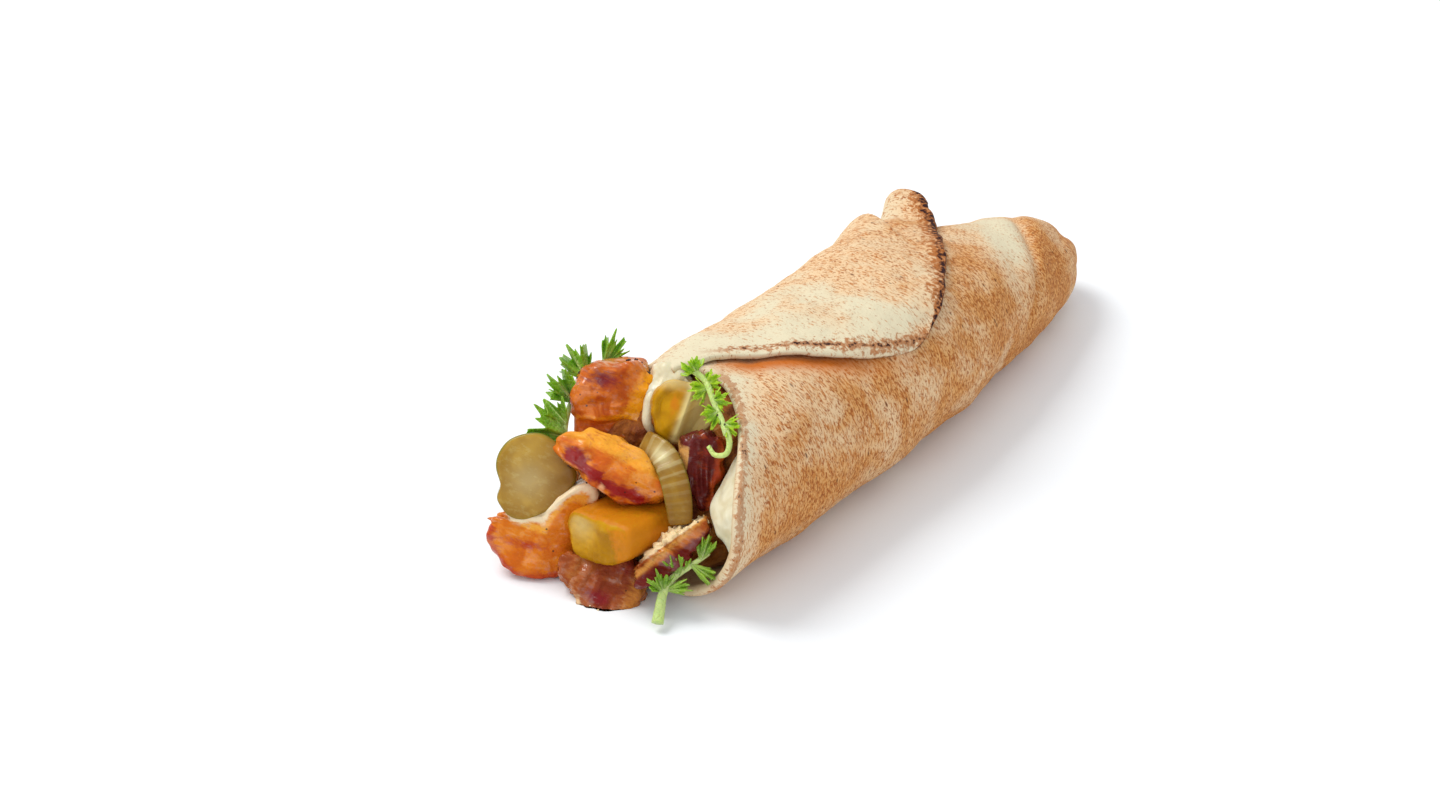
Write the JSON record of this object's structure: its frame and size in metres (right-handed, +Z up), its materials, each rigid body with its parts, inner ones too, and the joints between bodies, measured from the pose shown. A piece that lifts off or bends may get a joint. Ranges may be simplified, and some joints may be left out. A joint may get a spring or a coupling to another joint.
{
  "type": "doner kebab sandwich",
  "caption": "Doner kebab sandwich: a flatbread rolled round roast chicken, potato, pickle, curly lettuce and garlic sauce, open at one end and tucked shut at the other.",
  "frame": {"origin": "middle of the whole sandwich's underside, on the surface it lies on", "axes": "+X from the open mouth towards the tucked end, +Y to the back, away from the side where the flap's edge lies, +Z up"},
  "size_m": [0.2362, 0.0748, 0.0569],
  "materials": {
    "bread": "soft baked flatbread, matt, with brown toasted freckles",
    "filling": "packed roast chicken in sauce, moist",
    "chicken": "glazed roast chicken, orange, moist",
    "charred_chicken": "charred roast chicken, dark red brown, moist",
    "potato": "cooked potato, golden yellow, moist",
    "pickle": "pickled cucumber, olive, wet",
    "sauce": "garlic sauce, creamy white, smooth",
    "lettuce": "curly lettuce leaf, crisp"
  },
  "bodies": {
    "root": {"bread": "bread", "filling": "filling", "chicken_top": "chicken", "chicken_middle": "chicken", "chicken_left": "chicken", "chicken_crumbed": "chicken", "chicken_charred": "charred_chicken", "chicken_bottom": "charred_chicken", "pickle_slice": "pickle", "pickle_strip": "pickle", "potato_front": "potato", "potato_back": "potato", "garlic_sauce_top": "sauce", "garlic_sauce_side": "sauce", "lettuce_left": "lettuce", "lettuce_right": "lettuce", "lettuce_bottom": "lettuce"}
  },
  "joints": []
}
